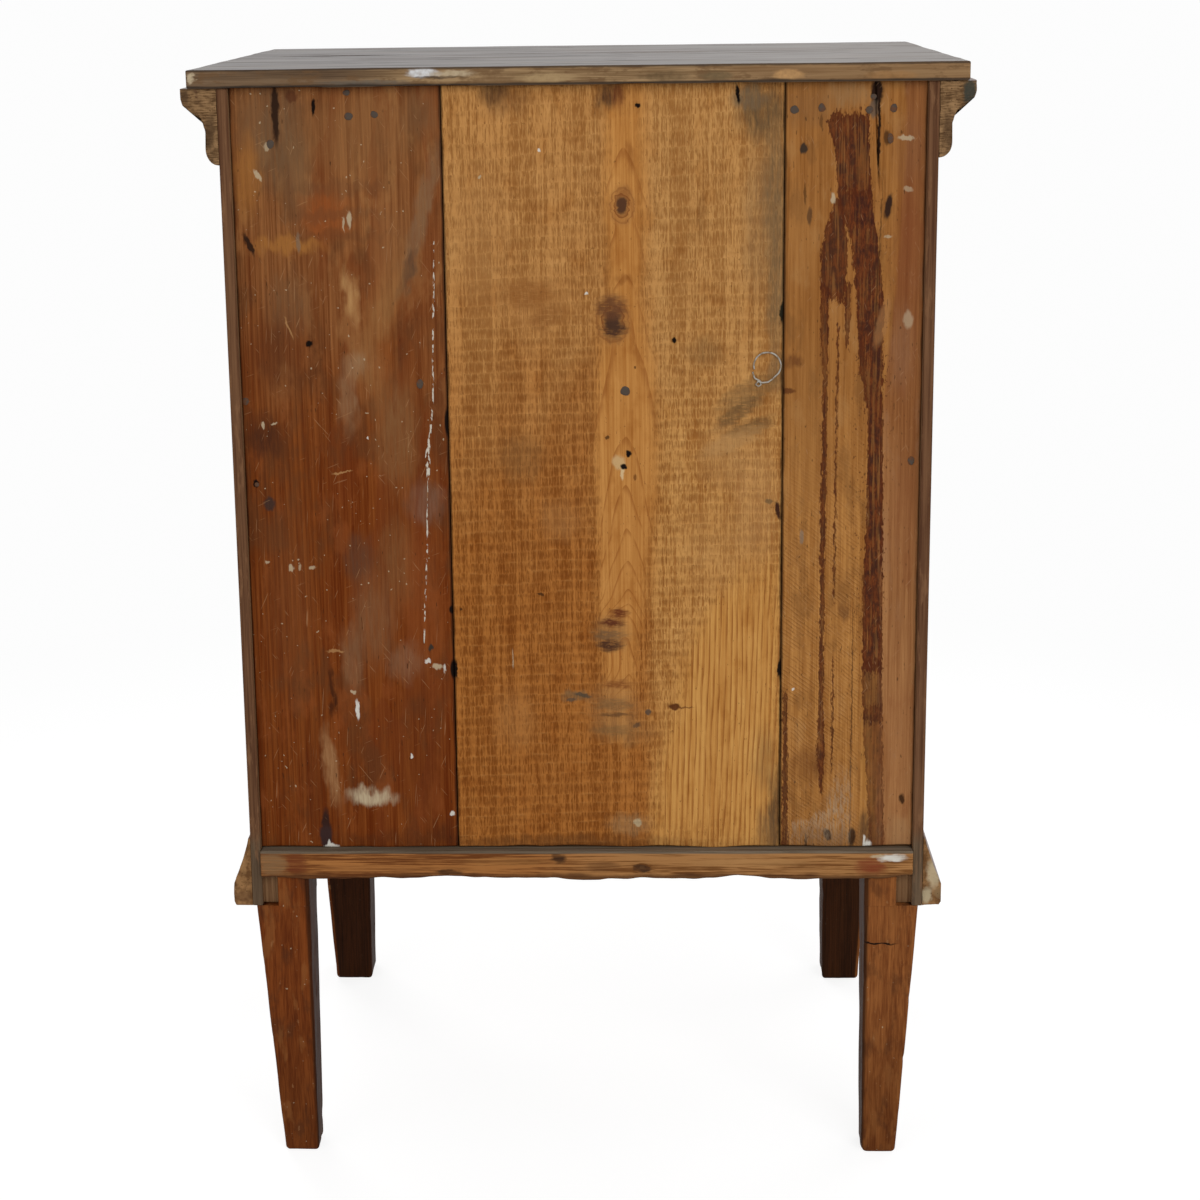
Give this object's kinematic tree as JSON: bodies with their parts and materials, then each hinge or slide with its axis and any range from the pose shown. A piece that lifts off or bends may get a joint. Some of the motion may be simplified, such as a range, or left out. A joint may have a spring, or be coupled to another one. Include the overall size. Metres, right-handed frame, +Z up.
{
  "type": "nightstand",
  "caption": "Antique wooden nightstand on tapered square legs, with a boarded back, a moulded top, a drawer over a hinged and locked panelled door.",
  "frame": {"origin": "bottom centre of the bounding box, on the floor under the middle of the cabinet", "axes": "+Z up; the front with the drawer and door faces -Y, the boarded back faces +Y, +X is right as seen from the front"},
  "size_m": [0.546, 0.393, 0.82],
  "materials": {
    "top_wood": "worn dark varnish, satin",
    "case_wood": "aged dark walnut stain, satin",
    "back_wood_streaked": "unpolished pine with runs of dark stain, matte",
    "back_wood_honey": "rough-sawn golden pine, matte",
    "back_wood_stained": "reddish-brown stain, matte",
    "raw_wood": "bare aged pine, matte",
    "leg_wood": "dark reddish-brown stain, satin",
    "brass": "tarnished",
    "iron": "dark forged iron, dull"
  },
  "bodies": {
    "cabinet": {"top_rear_board": "top_wood", "top_front_board": "top_wood", "side_panel_left": "case_wood", "side_panel_right": "case_wood", "back_board_left": "back_wood_streaked", "back_board_middle": "back_wood_honey", "back_board_right": "back_wood_stained", "bottom_board": "raw_wood", "partition_board": "raw_wood", "rear_rail": "raw_wood", "stile_left": "case_wood", "stile_right": "case_wood", "top_rail": "case_wood", "divider_rail": "case_wood", "sill_rail": "case_wood", "crown_moulding_front": "case_wood", "crown_moulding_left": "case_wood", "crown_moulding_right": "case_wood", "base_moulding_front": "case_wood", "base_moulding_left": "case_wood", "base_moulding_right": "case_wood", "leg_rear_left": "leg_wood", "leg_rear_right": "leg_wood", "leg_front_left": "leg_wood", "leg_front_right": "leg_wood", "drawer_guide_left": "raw_wood", "drawer_guide_right": "raw_wood", "kicker_left": "raw_wood", "kicker_right": "raw_wood", "drawer_stops": "raw_wood", "door_stop": "raw_wood", "hinge_leaves_frame": "brass", "hinge_pins": "brass", "hinge_screws_frame": "iron", "back_nails": "iron", "wire_loop": "iron"},
    "drawer": {"drawer_front": "case_wood", "drawer_side_left": "raw_wood", "drawer_side_right": "raw_wood", "drawer_back": "raw_wood", "drawer_bottom": "raw_wood", "drawer_knob": "case_wood"},
    "door": {"door_stile_hinge": "case_wood", "door_stile_lock": "case_wood", "door_rail_top": "case_wood", "door_rail_low": "case_wood", "door_panel": "case_wood", "hinge_leaves_door": "brass", "hinge_screws_door": "iron", "lock_case": "iron", "escutcheon": "brass"},
    "bolt": {"lock_bolt": "iron"},
    "key": {"key": "iron"}
  },
  "joints": [
    {"name": "drawer_slide", "type": "slide", "parent": "cabinet", "child": "drawer", "axis": [0, -1, 0], "range_m": [0, 0.25]},
    {"name": "door_hinge", "type": "hinge", "parent": "cabinet", "child": "door", "pos_m": [-0.1995, -0.1748, 0.42], "axis": [0, 0, -1], "range_deg": [0, 165]},
    {"name": "key_turn", "type": "hinge", "parent": "door", "child": "key", "pos_m": [0.169, -0.18, 0.433], "axis": [0, 1, 0], "range_deg": [0, 360]},
    {"name": "bolt_slide", "type": "slide", "parent": "door", "child": "bolt", "axis": [1, 0, 0], "range_m": [0, 0.009]}
  ],
  "couplings": [
    {"joint": "key_turn", "follows": "bolt_slide", "rad_per_m": 698.13}
  ]
}
